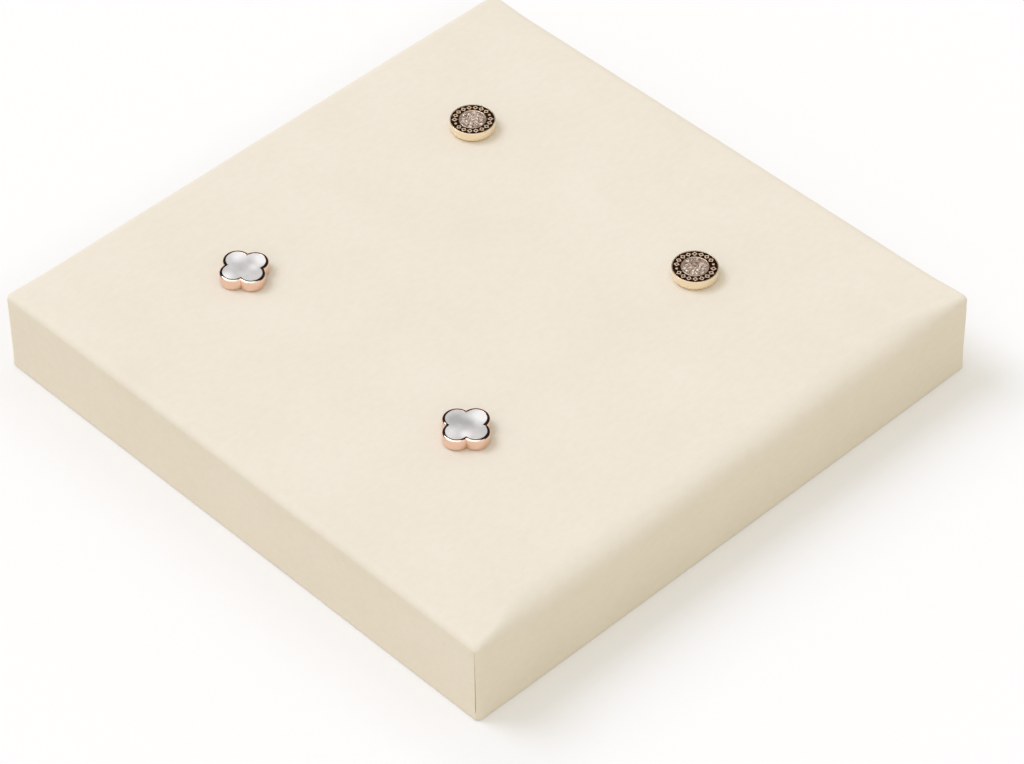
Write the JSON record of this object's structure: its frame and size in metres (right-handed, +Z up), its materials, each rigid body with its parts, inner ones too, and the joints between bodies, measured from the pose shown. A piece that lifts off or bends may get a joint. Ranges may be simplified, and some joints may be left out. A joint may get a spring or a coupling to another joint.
{
  "type": "earring tray",
  "caption": "Square padded display tray wrapped in cream microfibre, with clover-shaped and round stud earrings that lift out of its foam core.",
  "frame": {"origin": "middle of the underside, on the surface that the tray rests on", "axes": "+Z up out of the padded top; +X and +Y square to the sides, with the round studs towards +Y and the clover studs towards -Y"},
  "size_m": [0.12, 0.12, 0.0201],
  "materials": {
    "microfibre": "soft short nap, matt",
    "foam": "fine open cells, matt",
    "fibreboard": "sanded fibreboard",
    "greyboard": "matt pressed board",
    "liner_paper": "fine leather-grain embossed paper, matt",
    "yellow_gold": "polished",
    "rose_gold": "polished",
    "pale_gold": "polished",
    "dark_enamel": "glossy opaque enamel",
    "clear_stone": "faceted and bright",
    "pearl_shell": "smooth mother-of-pearl sheen"
  },
  "bodies": {
    "tray": {"wrap_cover": "microfibre", "foam_topper": "foam", "foam_insert": "foam", "frame_rail_right": "fibreboard", "frame_rail_back": "fibreboard", "frame_rail_left": "fibreboard", "frame_rail_front": "fibreboard", "base_board": "greyboard", "base_liner": "liner_paper"},
    "round_stud_a": {"round_stud_a_case": "yellow_gold", "round_stud_a_enamel": "dark_enamel", "round_stud_a_plate": "pale_gold", "round_stud_a_stones": "clear_stone", "round_stud_a_post": "yellow_gold"},
    "round_stud_b": {"round_stud_b_case": "yellow_gold", "round_stud_b_enamel": "dark_enamel", "round_stud_b_plate": "pale_gold", "round_stud_b_stones": "clear_stone", "round_stud_b_post": "yellow_gold"},
    "clover_stud_a": {"clover_stud_a_case": "rose_gold", "clover_stud_a_inlay": "pearl_shell", "clover_stud_a_post": "rose_gold"},
    "clover_stud_b": {"clover_stud_b_case": "rose_gold", "clover_stud_b_inlay": "pearl_shell", "clover_stud_b_post": "rose_gold"}
  },
  "joints": [
    {"name": "round_stud_a_pull", "type": "slide", "parent": "tray", "child": "round_stud_a", "axis": [0, 0, 1], "range_m": [0, 0.012]},
    {"name": "round_stud_b_pull", "type": "slide", "parent": "tray", "child": "round_stud_b", "axis": [0, 0, 1], "range_m": [0, 0.012]},
    {"name": "clover_stud_a_pull", "type": "slide", "parent": "tray", "child": "clover_stud_a", "axis": [0, 0, 1], "range_m": [0, 0.012]},
    {"name": "clover_stud_b_pull", "type": "slide", "parent": "tray", "child": "clover_stud_b", "axis": [0, 0, 1], "range_m": [0, 0.012]}
  ]
}
